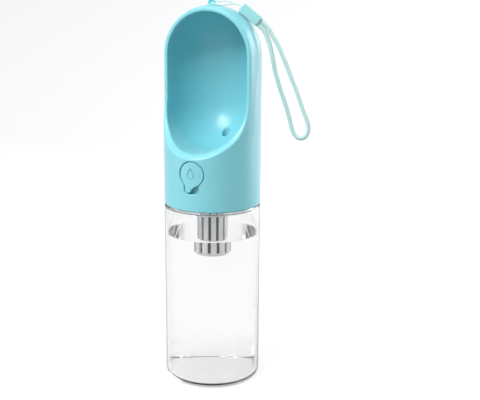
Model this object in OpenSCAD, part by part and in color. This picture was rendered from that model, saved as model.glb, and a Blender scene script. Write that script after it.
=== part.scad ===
// Travel water bottle for dogs: a clear bottle and a screw-on head with a scooped drinking bowl.
// Millimetres, +Z up, origin at the middle of the base, front (bowl and button) towards -Y.

/* [Bottle] */
// Outer diameter of the bottle and of the head
body_d = 66; // [63:0.5:74]
// Height of the bottle's shoulder, where the head begins
bottle_h = 124.2; // [112:0.1:150]
// Thickness of the bottle's wall
bottle_wall = 2; // [1.6:0.1:2.8]
// Thickness of the bottle's floor
bottle_floor = 3.2; // [2.8:0.1:5]
// Rounding of the bottle's lower corner
bottle_corner = 4.5; // [3:0.1:6]
// How far the neck stands in from the bottle's side
neck_inset = 6; // [5.6:0.1:6.6]
// Height of the neck above the shoulder
neck_h = 6.8; // [6.6:0.1:7.6]
// Thickness of the neck's wall
neck_wall = 2.2; // [1.8:0.1:2.6]
// Rise of the neck's thread in one turn
thread_pitch = 3.2; // [3:0.1:3.4]
// How far each thread stands out of its wall
thread_depth = 1.3; // [1:0.1:1.4]

/* [Head] */
// Height of the head's straight side, up to the start of the dome
side_h = 100.9; // [96:0.1:112]
// Thickness of the head's wall
head_wall = 2.4; // [2:0.1:2.8]
// Thickness of the bowl and of the dome over it
bowl_wall = 2.6; // [2.2:0.1:3]
// Visible gap between head and bottle
joint_gap = 0.4; // [0.3:0.05:0.6]
// Clearance between the valve and the bowl above it
bowl_gap = 1.7; // [1.4:0.1:4]
// Slope of the bowl's floor up to the lip, in degrees
floor_rise = 5; // [3:0.5:7]
// How much the bowl narrows towards the lip on each side, in degrees
bowl_taper = 10; // [8:0.5:12]
// How far the open face stands in front of the axis
face_y = 9.4; // [8:0.1:12]
// Height above the head's edge where the face begins to curve forward
face_up = 75.9; // [74:0.1:79]
// Radius of that curve
face_r = 42; // [40:0.5:44]
// Turn of that curve before it runs straight to the lip, in degrees
face_turn = 47.5; // [46:0.5:49]
// Diameter of the water outlet in the bowl
outlet_d = 4.8; // [4:0.1:5.2]
// Distance of the water outlet from the back of the head
outlet_in = 11; // [10.5:0.1:12]
// Width of the strap lug on the dome
lug_w = 6; // [5.6:0.1:8]
// Thickness of the strap lug
lug_t = 2.8; // [2.4:0.1:3.4]
// Height of the lug's hole above the top of the dome
lug_hole_up = 1.2; // [1:0.1:1.6]

/* [Button] */
// Height of the button above the head's edge
button_up = 25.4; // [25.2:0.1:25.8]
// Diameter of the button's round face
button_d = 16.8; // [16:0.1:17.8]
// Reach of the button's tail from its middle
tail_reach = 12.8; // [12.4:0.1:13.2]
// Width of the tail at its end
tail_w = 4.8; // [4:0.1:5.2]
// Gap between the button and its recess
button_gap = 0.5; // [0.3:0.05:0.6]
// Thickness of the button's face
button_t = 2; // [1.8:0.1:2.6]
// Way that the button travels when it is pressed
button_travel = 1.7; // [1.4:0.1:2.4]
// Swing of the tail from pour to lock, in degrees
button_swing = 28; // [22:1:30]

/* [Valve] */
// Diameter of the valve stem
stem_d = 5; // [4.6:0.1:5.4]
// Outer diameter of the valve body
valve_d = 13.2; // [12.6:0.1:13.8]
// Diameter of the opening that the valve disc closes
seat_d = 6.4; // [5.8:0.1:6.8]
// Wire of the return spring
spring_wire = 0.7; // [0.5:0.05:0.8]
// Turns of the return spring
spring_turns = 6; // [5:1:7]
// Outer diameter of the silicone hose
hose_d = 9.4; // [8.8:0.1:9.8]

/* [Filter] */
// Diameter of the filter
filter_d = 21; // [19:0.5:23]
// Length of the filter below the bottle's shoulder
filter_drop = 35.3; // [28:0.1:44]
// Number of slots in the filter cage
slots = 12; // [10:1:14]
// Width of a slot
slot_w = 2; // [1.6:0.1:2.4]
// Thickness of the filter cage
cage_wall = 1.3; // [1.1:0.1:1.6]
// Diameter of the spigot that the filter pushes on
spigot_d = 12; // [11:0.1:12.6]

/* [Strap] */
// Direction in which the strap hangs, from +X towards +Y, in degrees
strap_turn = 16.5; // [0:0.5:60]
// Thickness of the strap's braided cord
cord_d = 3; // [2.8:0.1:3.2]
// Thickness of the string through the lug
string_d = 1; // [0.8:0.1:1.2]
// Length of the strap clamp
clamp_l = 15.5; // [15:0.1:16]
// Width of the strap clamp
clamp_w = 7; // [6.8:0.1:7.2]
// Thickness of the strap clamp
clamp_t = 5.4; // [4.6:0.1:6]

/* [Fits] */
// Radial clearance of parts that slide or turn in each other
running = 0.05; // [0.03:0.01:0.09]
// Clearance between parts that are set next to each other
seat_gap = 0.15; // [0.1:0.05:0.25]
// Clearance of parts that pass each other as they move
pass_gap = 0.3; // [0.25:0.05:0.4]

/* [Hidden] */
$fn = 96;
teal = [0.50, 0.84, 0.87];
deep_teal = [0.42, 0.78, 0.82];
clear = [0.93, 0.95, 0.97, 0.35];
milk = [0.90, 0.91, 0.92];
silicone = [0.96, 0.96, 0.94];
coal = [0.09, 0.09, 0.10];
steel = [0.75, 0.76, 0.78];
pale_mint = [0.74, 0.89, 0.87];

body_r = body_d / 2;
head_z = bottle_h + joint_gap;
edge_round = 1.2;
inner_corner = 1.8;

// The base is a shallow dome, so that the bottle stands on a ring
hollow_edge = body_r - bottle_corner - 2.5;
hollow_up = 1.4;
hollow_r = (pow(hollow_edge, 2) + pow(hollow_up, 2)) / (2 * hollow_up);

// Neck, gasket and collar, from the shoulder upwards
neck_r = body_r - neck_inset;
neck_bore = neck_r - neck_wall;
neck_z = bottle_h + neck_h;
gasket_t = 1.5;
gasket_z = neck_z + seat_gap;
deck_z = gasket_z + gasket_t + seat_gap;
deck_t = 2.2;
deck_top = deck_z + deck_t;
collar_r = body_r - head_wall - seat_gap;
collar_bore = neck_r + thread_depth + 0.5;
collar_z = head_z + 0.4;

// Threads: the collar's runs half a pitch below the neck's
thread_w = 1.3;
thread_sweep = 300;
neck_thread_z = bottle_h + 2.7;

// Dome and bowl; the bowl's round bottom has its middle above the valve
dome_z = head_z + side_h;
bowl_r = body_r - bowl_wall;
bowl_overlap = 0.15;
face_z = head_z + face_up;
lug_z = dome_z + body_r + lug_hole_up;
lug_hole_r = 1.5;

// Button and its well, along -Y
button_z = head_z + button_up;
button_r = button_d / 2;
tail_tip = tail_reach - tail_w / 2;
button_back = -body_r + button_t;
well_wall = 1.3;
tail_root = [3.5, -6.5];
well_floor = button_back + button_travel + pass_gap;
well_back = well_floor + 1.7;
boss_r = 4;
boss_hole_r = boss_r + pass_gap;
boss_end = well_back - seat_gap;
pin_r = 2.2;

// Valve, along the axis of the button
stem_r = stem_d / 2;
stem_thin_r = 1.5;
flange_r = 6.2;
flange_y = well_back + seat_gap;
flange_t = 1.2;
spring_y = flange_y + flange_t;
spring_r = 4.6;
valve_r = valve_d / 2;
bowl_z = button_z + valve_r + bowl_gap + bowl_r + bowl_wall;
valve_y = -12;
gland_y = valve_y + 3;
gland_r = stem_r + 1.85;
gland_t = 2.6;
seat_y = 8;
seat_t = 2;
chamber_r = valve_r - 1.9;
outlet_r = outlet_d / 2;
outlet_y = body_r - outlet_in;
nipple_r = outlet_r + 1;
valve_end = outlet_y + nipple_r + 1.6;
plug_y = outlet_y + outlet_r + 0.3;
stem_step = seat_y - 2;
disc_y = seat_y + seat_t + seat_gap;
disc_t = 2.4;
disc_r = chamber_r - 0.5;
clip_y = disc_y + disc_t + 0.05;
clip_t = 0.7;
clip_groove_r = 1.1;
stem_end = clip_y + clip_t + 1.2;
inlet_r = 2.4;
foot_x = 11.5;
foot_r = 3.6;
foot_t = 3;
screw_r = 1.1;
screw_l = 4.6;
seal_t = 1;
valve_base = deck_top + seal_t + 2 * running;
hose_low = button_z + valve_r + 0.6;
nipple_top = button_z + valve_r + 3.4;
bowl_spigot_z = nipple_top + 0.8;
hose_top = bowl_z - sqrt(pow(bowl_r + bowl_wall, 2) - pow(outlet_y - hose_d / 2, 2)) - seat_gap;

// Filter, hung from the deck
spigot_r = spigot_d / 2;
spigot_z = deck_z - 9;
filter_r = filter_d / 2;
filter_z = bottle_h - filter_drop;
cap_z = bottle_h - 3;
cap_top = deck_z - pass_gap;
cap_plug = 2.5;
cage_bore = filter_r - cage_wall;
core_r = cage_bore - seat_gap;
core_z = filter_z + 2;
core_top = cap_z - cap_plug - 1.2;
mesh_t = 0.6;
vent_at = [-15, 8];
vent_r = 1.5;

// Strap: places in the hanging plane, as distance from the axis and height above the head's edge
clamp_at = [25.2, 127.7];
clamp_slope = 39.5;
along = [cos(clamp_slope), -sin(clamp_slope)];
across = [sin(clamp_slope), cos(clamp_slope)];
strand = cord_d / 2 + 0.1;
function clamp_port(end, side, out) = clamp_at + (end * (clamp_l / 2 + out)) * along + side * across;
strap_points = concat(
    [clamp_port(1, -strand, 0), clamp_port(1, -strand, 2.4)],
    [[34.3, 117.6], [36.1, 114], [37.7, 110], [39.1, 105], [40.3, 100], [41.3, 95], [42.4, 90],
     [44, 84.4], [46, 78.2], [48.5, 71.4], [50.6, 65], [52.4, 58.6], [53.6, 53.8], [55.1, 49.8],
     [57.4, 47], [60.2, 46.2], [62.9, 47.3], [64.5, 50.2], [64.9, 53.8], [64.2, 57.4], [62.6, 61.4],
     [60.9, 65.8], [59, 71], [56.6, 77.8], [54, 84], [51.4, 90.4], [49, 96.4], [46.8, 101.4],
     [45, 105.4], [43.2, 109], [41.1, 112.6], [38.9, 116.2], [36.9, 119.5]],
    [clamp_port(1, strand, 2.4), clamp_port(1, strand, 0)]);
// String: distance along the strap's direction, across it, height above the head's edge,
// and how far one side rises and the other sinks
string_side = 0.8;
string_start = clamp_port(-1, 0, 0);
string_next = clamp_port(-1, 0, 1.8);
string_half = [[15.5, 1.2, 134.6, 0.1], [12.5, 1.8, 134.9, 0.5], [9, 2.6, 135, 1.1], [6, 3.3, 135, 1.2],
    [3.8, 3.8, 135.1, 0.9], [1.9, 3.8, 135.1, 0.5], [0.6, 2.8, 135.1, 0.2], [0.1, 1.5, 135.1, 0]];
function string_path(s) = concat(
    [[string_start[0], s * string_side, string_start[1]], [string_next[0], s * string_side, string_next[1]]],
    [for (p = string_half) [p[0], s * p[1], p[2] + s * p[3]]]);
string_points = concat(string_path(-1), [[0, 0, 135.1]],
    [for (i = [len(string_half) + 1:-1:0]) string_path(1)[i]]);

// ---- Helpers ----

// What is left of a square corner when it is rounded, with the corner at the origin
module corner_waste(r) {
    translate([-r, -r])
        difference() {
            square(r + 0.01);
            circle(r);
        }
}

// Extrudes an outline of X and Z along Y, with its own origin at the button's axis
module along_y(from, to) {
    translate([0, to, button_z])
        rotate([90, 0, 0])
            linear_extrude(to - from)
                children();
}

// A round bar along the button's axis
module bar(from, to, r) {
    along_y(from, to) circle(r);
}

// A ring of round section about Z
module o_ring(middle_r, section_r) {
    rotate_extrude()
        translate([middle_r, 0])
            circle(section_r, $fn = 32);
}

// Triangles between rings of n points, with both ends closed
function skin(rings, n) = concat(
    [for (i = [0:rings - 2], j = [0:n - 1]) each
        [[i * n + j, i * n + (j + 1) % n, (i + 1) * n + j],
         [i * n + (j + 1) % n, (i + 1) * n + (j + 1) % n, (i + 1) * n + j]]],
    [for (j = [1:n - 2]) [0, j + 1, j]],
    [for (j = [1:n - 2]) let (b = (rings - 1) * n) [b, b + j, b + j + 1]]);

function unit(v) = v / norm(v);
function heading(p, i) = unit(p[min(i + 1, len(p) - 1)] - p[max(i - 1, 0)]);

// A tube of round section through points, with its sides kept level to one direction
module tube(p, r, level, sides) {
    rings = [for (i = [0:len(p) - 1])
        let (t = heading(p, i), a = unit(cross(level, t)), b = cross(t, a))
            each [for (k = [0:sides - 1])
                p[i] + r * (cos(k * 360 / sides) * a + sin(k * 360 / sides) * b)]];
    polyhedron(rings, skin(len(p), sides));
}

// A thread's ridge about Z: root is buried in the wall, crest stands out of it
module thread(root, crest, z, width, sweep) {
    steps = ceil(sweep / 15);
    ring_points = [for (i = [0:steps])
        let (a = sweep * i / steps, h = z + thread_pitch * a / 360, c = width * 0.3, w = width / 2)
            each [for (q = [[root, h - w], [root, h + w], [crest, h + c], [crest, h - c]])
                [q[0] * cos(a), q[0] * sin(a), q[1]]]];
    faces = skin(steps + 1, 4);
    polyhedron(ring_points, crest > root ? [for (f = faces) [f[2], f[1], f[0]]] : faces);
}

// ---- Bottle ----

module bottle_profile() {
    difference() {
        union() {
            square([body_r, bottle_h]);
            square([neck_r, neck_z]);
        }
        translate([body_r, 0]) mirror([0, 1]) corner_waste(bottle_corner);
        translate([body_r, bottle_h]) corner_waste(edge_round);
        translate([neck_r, neck_z]) corner_waste(0.5);
        // Inside
        difference() {
            translate([0, bottle_floor]) square([body_r - bottle_wall, bottle_h - bottle_wall - bottle_floor]);
            translate([body_r - bottle_wall, bottle_floor])
                mirror([0, 1]) corner_waste(inner_corner);
            translate([body_r - bottle_wall, bottle_h - bottle_wall]) corner_waste(inner_corner);
        }
        translate([0, bottle_h / 2]) square([neck_bore, bottle_h]);
        translate([0, hollow_up - hollow_r]) circle(hollow_r, $fn = 720);
    }
}

module bottle() {
    color(clear) {
        rotate_extrude() bottle_profile();
        thread(neck_r - 0.6, neck_r + thread_depth, neck_thread_z, thread_w, thread_sweep);
    }
}

// ---- Head ----

// Side view of what is cut away in front of the bowl, extruded across the head:
// an upright face that curves forward round the bend and runs straight down to the lip
module face_cut() {
    bend = [-face_y - face_r, face_z];
    tip = bend + face_r * [cos(face_turn), -sin(face_turn)];
    run = (tip[0] + body_r + 2) / sin(face_turn);
    end = tip - run * [sin(face_turn), cos(face_turn)];
    rotate([90, 0, 90])
        translate([0, 0, -body_r - 1])
            linear_extrude(body_d + 2) {
                translate([-face_y - body_d, face_z]) square([body_d, body_d]);
                translate(bend) circle(face_r, $fn = 240);
                polygon([tip, bend, [-body_d, face_z], [-body_d, end[1]], end]);
            }
}

// The bowl's hollow, or with grow its outside: a round bottom that runs on
// towards the lip as a cone, which is sunk a hair into the round bottom
module bowl_form(grow) {
    r = bowl_r + grow;
    reach = body_r * 1.3;
    start = r * sin(bowl_taper);
    translate([0, 0, bowl_z]) {
        sphere(r);
        cylinder(r = r, h = dome_z - bowl_z);
        rotate([90 - floor_rise + bowl_taper, 0, 0])
            translate([0, 0, start - bowl_overlap])
                cylinder(r1 = r * cos(bowl_taper), r2 = r * cos(bowl_taper) - reach * tan(bowl_taper), h = reach);
    }
    translate([0, 0, dome_z]) sphere(r);
}

// Outline of the button: a round face with a tail that points down
module button_outline() {
    circle(button_r);
    polygon([[-tail_root[0], tail_root[1]], tail_root, [tail_w / 2, -tail_tip], [-tail_w / 2, -tail_tip]]);
    translate([0, -tail_tip]) circle(tail_w / 2, $fn = 48);
}

// Outline that the button sweeps as it turns, grown on all sides
module well_outline(grow) {
    half = button_swing / 2;
    end_r = tail_w / 2 + grow;
    reach = tail_tip + end_r;
    near = tail_root[0] + grow;
    circle(button_r + grow);
    polygon(concat([[0, 0]], [for (a = [-half:half / 4:half]) reach * [sin(a), -cos(a)]]));
    for (s = [-1, 1])
        rotate(s * half) {
            translate([0, -tail_tip]) circle(end_r, $fn = 48);
            polygon([[-near, tail_root[1]], [near, tail_root[1]], [end_r, -tail_tip], [-end_r, -tail_tip]]);
        }
}

module lug() {
    translate([0, lug_t / 2, lug_z])
        rotate([90, 0, 0])
            linear_extrude(lug_t) {
                circle(lug_w / 2);
                translate([-lug_w / 2, -lug_hole_up - 2]) square([lug_w, lug_hole_up + 2]);
            }
}

module head_outside() {
    rotate_extrude()
        difference() {
            translate([0, head_z]) square([body_r, side_h]);
            translate([body_r, head_z]) mirror([0, 1]) corner_waste(edge_round);
        }
    translate([0, 0, dome_z]) sphere(body_r);
    lug();
}

// Room for the valve under the bowl
module head_chamber() {
    difference() {
        translate([0, 0, head_z - 1]) cylinder(r = body_r - head_wall, h = bowl_z - head_z);
        intersection() {
            bowl_form(bowl_wall);
            translate([0, 0, head_z]) cylinder(r = body_r, h = body_d + side_h);
        }
        intersection() {
            along_y(-body_r, well_back) well_outline(button_gap + well_wall);
            translate([0, 0, deck_top + seat_gap]) cylinder(r = body_r - 0.5, h = side_h);
        }
        translate([0, outlet_y, bowl_spigot_z]) cylinder(r = nipple_r, h = bowl_z - bowl_spigot_z);
    }
}

module head_shell() {
    color(teal)
        difference() {
            head_outside();
            head_chamber();
            bowl_form(0);
            face_cut();
            along_y(-body_r - 1, well_floor) well_outline(button_gap);
            bar(-body_r, well_back + 1, boss_hole_r);
            translate([0, outlet_y, button_z]) cylinder(r = outlet_r, h = body_r);
            translate([0, 0, lug_z])
                rotate([90, 0, 0]) cylinder(r = lug_hole_r, h = lug_t * 2, center = true, $fn = 48);
        }
}

module screw_collar() {
    color(deep_teal)
        difference() {
            union() {
                difference() {
                    translate([0, 0, collar_z]) cylinder(r = collar_r, h = deck_top - collar_z);
                    translate([0, 0, collar_z - 1]) cylinder(r = collar_bore, h = deck_z - collar_z + 1);
                }
                thread(collar_bore + 0.6, collar_bore - thread_depth, neck_thread_z - thread_pitch / 2,
                    thread_w, thread_sweep);
                translate([0, 0, spigot_z]) cylinder(r = spigot_r, h = deck_z - spigot_z + 1);
                for (s = [-1, 1])
                    translate([s * foot_x, 0, deck_z]) cylinder(r = foot_r, h = valve_base - deck_z);
            }
            translate([0, 0, spigot_z - 1]) cylinder(r = inlet_r + 0.6, h = deck_top - spigot_z + 2);
            // Groove for the filter's o-ring
            translate([0, 0, spigot_z + 3]) rotate_extrude()
                translate([spigot_r - 1.1, -0.85]) square([2, 1.7]);
            translate([vent_at[0], vent_at[1], deck_z - 1]) cylinder(r = vent_r + running, h = deck_t + 2);
            for (s = [-1, 1])
                translate([s * foot_x, 0, valve_base - screw_l + foot_t - 0.8])
                    cylinder(r = screw_r + running, h = 8, $fn = 48);
        }
}

module neck_gasket() {
    color(silicone)
        translate([0, 0, gasket_z])
            difference() {
                cylinder(r = neck_r + 0.8, h = gasket_t);
                translate([0, 0, -1]) cylinder(r = neck_bore + 0.2, h = gasket_t + 2);
            }
}

// ---- Valve ----

module valve_body() {
    color(milk)
        difference() {
            union() {
                bar(valve_y, valve_end, valve_r);
                translate([0, 0, valve_base]) cylinder(r = valve_r, h = button_z - valve_base);
                for (s = [-1, 1])
                    translate([s * foot_x, 0, valve_base]) cylinder(r = foot_r, h = foot_t);
                translate([-foot_x, -foot_r, valve_base]) cube([2 * foot_x, 2 * foot_r, foot_t]);
                translate([0, outlet_y, button_z]) cylinder(r = nipple_r, h = nipple_top - button_z);
            }
            bar(valve_y - 1, gland_y + 1, stem_r + running);
            bar(gland_y, gland_y + gland_t, gland_r);
            bar(gland_y + gland_t - 0.5, seat_y, chamber_r);
            bar(seat_y - 1, seat_y + seat_t + 1, seat_d / 2);
            bar(seat_y + seat_t, valve_end + 1, chamber_r);
            translate([0, 0, valve_base - 1]) cylinder(r = inlet_r, h = button_z - valve_base);
            translate([0, outlet_y, button_z]) cylinder(r = outlet_r, h = nipple_top);
            for (s = [-1, 1])
                translate([s * foot_x, 0, valve_base - 1]) cylinder(r = screw_r + running, h = foot_t + 2, $fn = 48);
        }
}

module inlet_seal() {
    color(silicone)
        translate([0, 0, deck_top + running])
            difference() {
                cylinder(r = inlet_r + 2, h = seal_t);
                translate([0, 0, -1]) cylinder(r = inlet_r + 0.2, h = seal_t + 2);
            }
}

module valve_screws() {
    color(steel)
        for (s = [-1, 1])
            translate([s * foot_x, 0, valve_base + foot_t]) {
                difference() {
                    cylinder(r = screw_r * 2, h = 1.5, $fn = 48);
                    translate([0, 0, 0.8]) {
                        cube([2.6, 0.6, 2], center = true);
                        cube([0.6, 2.6, 2], center = true);
                    }
                }
                translate([0, 0, -screw_l]) cylinder(r = screw_r, h = screw_l, $fn = 48);
            }
}

module valve_plug() {
    color(milk) {
        bar(plug_y, valve_end + 0.5, chamber_r - running);
        bar(valve_end + running, valve_end + 1.2, valve_r - 0.4);
    }
}

module valve_stem() {
    color(milk)
        difference() {
            union() {
                bar(button_back - 0.5, flange_y, pin_r);
                bar(flange_y, flange_y + flange_t, flange_r);
                bar(flange_y, stem_step, stem_r);
                bar(stem_step, stem_end, stem_thin_r);
            }
            difference() {
                bar(clip_y, clip_y + clip_t, stem_thin_r + 1);
                bar(clip_y - 1, clip_y + clip_t + 1, clip_groove_r);
            }
        }
}

module stem_o_ring() {
    color(coal)
        translate([0, gland_y + gland_t / 2, button_z])
            rotate([90, 0, 0])
                o_ring((stem_r + gland_r) / 2, (gland_r - stem_r) / 2 - running);
}

module valve_disc() {
    color(silicone)
        difference() {
            bar(disc_y, disc_y + disc_t, disc_r);
            bar(disc_y - 1, disc_y + disc_t + 1, stem_thin_r + running);
        }
}

module stem_clip() {
    color(steel)
        difference() {
            bar(clip_y + 0.05, clip_y + clip_t - 0.05, 3);
            bar(clip_y - 1, clip_y + clip_t + 1, clip_groove_r + running);
            translate([0, clip_y + clip_t / 2, button_z + 2]) cube([1.6, 2, 4], center = true);
        }
}

// Return spring: one tube along a helix between the stem's flange and the valve body
spring_from = spring_y + spring_wire / 2 + 0.1;
spring_to = valve_y - spring_wire / 2 - 0.1;
function spring_at(i, n) =
    let (a = 360 * spring_turns * i / n)
        [spring_r * cos(a), spring_from + (spring_to - spring_from) * i / n, button_z + spring_r * sin(a)];

module button_spring() {
    n = 8 * spring_turns;
    p = [for (i = [0:n]) spring_at(i, n)];
    echo(spring_least_gap = min([for (i = [0:n - 8]) norm(p[i + 8] - p[i])]) - spring_wire);
    color(steel) tube(p, spring_wire / 2, [0, 1, 0], 6);
}

module button_cap() {
    color(teal)
        difference() {
            union() {
                intersection() {
                    along_y(-body_r, button_back) rotate(-button_swing / 2) button_outline();
                    translate([0, 0, head_z]) cylinder(r = body_r - 0.3, h = side_h);
                }
                bar(button_back - 0.5, boss_end, boss_r);
            }
            bar(button_back - 0.5 - running, boss_end + 1, pin_r + running);
        }
}

module outlet_hose() {
    color(silicone)
        translate([0, outlet_y, hose_low])
            difference() {
                cylinder(r = hose_d / 2, h = hose_top - hose_low);
                translate([0, 0, -1]) cylinder(r = nipple_r + running, h = body_r);
            }
}

module vent_valve() {
    color(silicone)
        translate([vent_at[0], vent_at[1], 0]) {
            translate([0, 0, deck_z - 1]) cylinder(r1 = 3.6, r2 = 4, h = 1 - running);
            translate([0, 0, deck_z - 0.5]) cylinder(r = vent_r, h = deck_t + 1);
            translate([0, 0, deck_top + running]) cylinder(r1 = vent_r + 0.5, r2 = vent_r - 0.2, h = 1.2);
        }
}

// ---- Filter ----

module filter_cap() {
    color(milk)
        difference() {
            union() {
                translate([0, 0, cap_z]) cylinder(r = filter_r, h = cap_top - cap_z - 1);
                translate([0, 0, cap_top - 1]) cylinder(r1 = filter_r, r2 = filter_r - 1, h = 1);
                translate([0, 0, cap_z - cap_plug]) cylinder(r = cage_bore - running, h = cap_plug + 1);
            }
            translate([0, 0, spigot_z - seat_gap]) cylinder(r = spigot_r + running, h = 20);
            translate([0, 0, cap_z - cap_plug - 1]) cylinder(r = inlet_r + 0.6, h = 20);
        }
}

module filter_cage() {
    slot_low = filter_z + 2.4;
    slot_top = cap_z - cap_plug - 1;
    color(milk)
        difference() {
            rotate_extrude()
                difference() {
                    translate([0, filter_z]) square([filter_r, cap_z - running - filter_z]);
                    translate([filter_r, filter_z]) mirror([0, 1]) corner_waste(3);
                    translate([0, filter_z + 1.5]) square([cage_bore, cap_z]);
                }
            for (i = [0:slots - 1])
                rotate((i + 0.5) * 360 / slots - 90)
                    translate([filter_r, 0, (slot_low + slot_top) / 2])
                        cube([filter_r, slot_w, slot_top - slot_low], center = true);
        }
}

module carbon_core() {
    color(coal)
        translate([0, 0, core_z])
            difference() {
                cylinder(r = core_r, h = core_top - core_z);
                translate([0, 0, 3]) cylinder(r = inlet_r + 0.6, h = core_top);
            }
}

module filter_mesh() {
    color(steel)
        translate([0, 0, core_top + running]) cylinder(r = core_r, h = mesh_t);
}

module filter_o_ring() {
    color(coal)
        translate([0, 0, spigot_z + 3]) o_ring(spigot_r - 0.45, 0.45 + running / 2);
}

// ---- Strap ----

module hanging_plane() {
    translate([0, 0, head_z]) rotate([90, 0, strap_turn]) children();
}

module strap_clamp() {
    corner = 1.1;
    color(deep_teal)
        hanging_plane()
            translate([clamp_at[0], clamp_at[1], -clamp_t / 2])
                rotate(-clamp_slope)
                    linear_extrude(clamp_t)
                        difference() {
                            square([clamp_l, clamp_w], center = true);
                            for (x = [0, 1], y = [0, 1])
                                mirror([x, 0]) mirror([0, y])
                                    translate([clamp_l / 2, clamp_w / 2]) corner_waste(corner);
                        }
}

module strap_cord() {
    color(pale_mint)
        hanging_plane()
            tube([for (p = strap_points) [p[0], p[1], 0]], cord_d / 2, [0, 0, 1], 8);
}

module strap_string() {
    color(pale_mint)
        translate([0, 0, head_z])
            rotate(strap_turn)
                tube(string_points, string_d / 2, [0, 0, 1], 8);
}

bottle();
head_shell();
screw_collar();
neck_gasket();
valve_body();
inlet_seal();
valve_screws();
valve_plug();
valve_stem();
stem_o_ring();
valve_disc();
stem_clip();
button_spring();
button_cap();
outlet_hose();
vent_valve();
filter_cap();
filter_cage();
carbon_core();
filter_mesh();
filter_o_ring();
strap_string();
strap_clamp();
strap_cord();
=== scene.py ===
import math

import bmesh
import bpy
import numpy as np
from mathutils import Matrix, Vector


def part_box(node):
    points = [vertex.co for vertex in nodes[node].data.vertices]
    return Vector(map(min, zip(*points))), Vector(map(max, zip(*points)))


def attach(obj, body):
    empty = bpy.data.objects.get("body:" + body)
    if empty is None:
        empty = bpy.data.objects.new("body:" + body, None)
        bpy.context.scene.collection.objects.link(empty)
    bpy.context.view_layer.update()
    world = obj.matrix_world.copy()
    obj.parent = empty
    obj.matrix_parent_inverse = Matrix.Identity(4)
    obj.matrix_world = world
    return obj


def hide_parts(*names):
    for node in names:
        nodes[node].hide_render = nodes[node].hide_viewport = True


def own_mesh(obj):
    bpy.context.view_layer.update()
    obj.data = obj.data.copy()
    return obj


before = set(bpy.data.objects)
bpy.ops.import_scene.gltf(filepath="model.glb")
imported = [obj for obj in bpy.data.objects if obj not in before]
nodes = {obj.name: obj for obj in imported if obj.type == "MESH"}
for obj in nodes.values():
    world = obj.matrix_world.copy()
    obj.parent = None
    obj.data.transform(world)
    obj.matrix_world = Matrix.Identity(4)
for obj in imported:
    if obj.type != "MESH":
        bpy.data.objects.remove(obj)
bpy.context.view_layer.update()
print("frame:", len(nodes), "nodes")

# Measures that several pieces share, in metres, read from the frame where it has them
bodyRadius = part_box("bottle")[1].x
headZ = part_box("head_shell")[0].z
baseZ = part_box("bottle")[0].z


# The camera stands where the photograph was taken
cameraSet = {
    "aim": Vector((0, 0, 0.130)),
    "distance": 0.6795,
    "side": 25.5,          # degrees from the front towards the right
    "rise": 13.51,         # degrees above level
    "lens": 73.93,
    "sensor": 36,
    "shift": (0.0575, -0.0121),
    "clip": (0.01, 20),
}


def addCamera(s):
    side, rise = math.radians(s["side"]), math.radians(s["rise"])
    away = Vector((math.sin(side) * math.cos(rise), -math.cos(side) * math.cos(rise), math.sin(rise)))
    data = bpy.data.cameras.new("camera")
    data.sensor_width = s["sensor"]
    data.lens = s["lens"]
    data.shift_x, data.shift_y = s["shift"]
    data.clip_start, data.clip_end = s["clip"]
    cam = bpy.data.objects.new("camera", data)
    cam.location = s["aim"] + s["distance"] * away
    cam.rotation_euler = (-away).to_track_quat("-Z", "Y").to_euler()
    bpy.context.scene.collection.objects.link(cam)
    bpy.context.scene.camera = cam


addCamera(cameraSet)
print("camera set")


# Adds a node, with its inputs linked or set by name
def addNode(tree, kind, inputs=None, **values):
    node = tree.nodes.new(kind)
    for key, value in values.items():
        setattr(node, key, value)
    for key, value in (inputs or {}).items():
        if isinstance(value, bpy.types.NodeSocket):
            tree.links.new(value, node.inputs[key])
        else:
            node.inputs[key].default_value = value
    return node


def newMaterial(name, principled):
    material = bpy.data.materials.new(name)
    material.use_nodes = True
    tree = material.node_tree
    shader = tree.nodes["Principled BSDF"]
    for key, value in principled.items():
        shader.inputs[key].default_value = value
    place = addNode(tree, "ShaderNodeTexCoord").outputs["Object"]
    return material, tree, shader, place


def noise(tree, place, scale, detail=3.0):
    return addNode(tree, "ShaderNodeTexNoise", {"Vector": place, "Scale": scale, "Detail": detail}).outputs["Fac"]


# Noise seldom leaves 0.3 to 0.7, so that is the span that remap reads
def remap(tree, value, low, high, fromLow=0.3, fromHigh=0.7):
    return addNode(tree, "ShaderNodeMapRange", {"Value": value, "From Min": fromLow, "From Max": fromHigh,
                                                "To Min": low, "To Max": high}).outputs["Result"]


def mixColour(tree, factor, one, two):
    node = addNode(tree, "ShaderNodeMix", data_type="RGBA")
    tree.links.new(factor, node.inputs[0])
    for socket, colour in ((node.inputs[6], one), (node.inputs[7], two)):      # its colour sockets A and B
        if isinstance(colour, bpy.types.NodeSocket):
            tree.links.new(colour, socket)
        else:
            socket.default_value = (*colour, 1)
    return node.outputs[2]


def bump(tree, shader, height, distance, below=None):
    node = addNode(tree, "ShaderNodeBump", {"Height": height, "Distance": distance})
    if below is not None:
        tree.links.new(below, node.inputs["Normal"])
    tree.links.new(node.outputs["Normal"], shader.inputs["Normal"])
    return node.outputs["Normal"]


# Moulded plastic: a fine grain over a slow swell
plasticLook = {
    "ior": 1.5,
    "grain": 3200,         # cells a metre of the moulded grain
    "grainDetail": 2.0,
    "grainDepth": 0.000012,
    "cloud": 22,           # cells a metre of the slow change of tone
    "swell": 90,
    "swellDepth": 0.00004,
    "roughSpread": 0.12,   # share by which the grain changes the roughness
}


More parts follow.
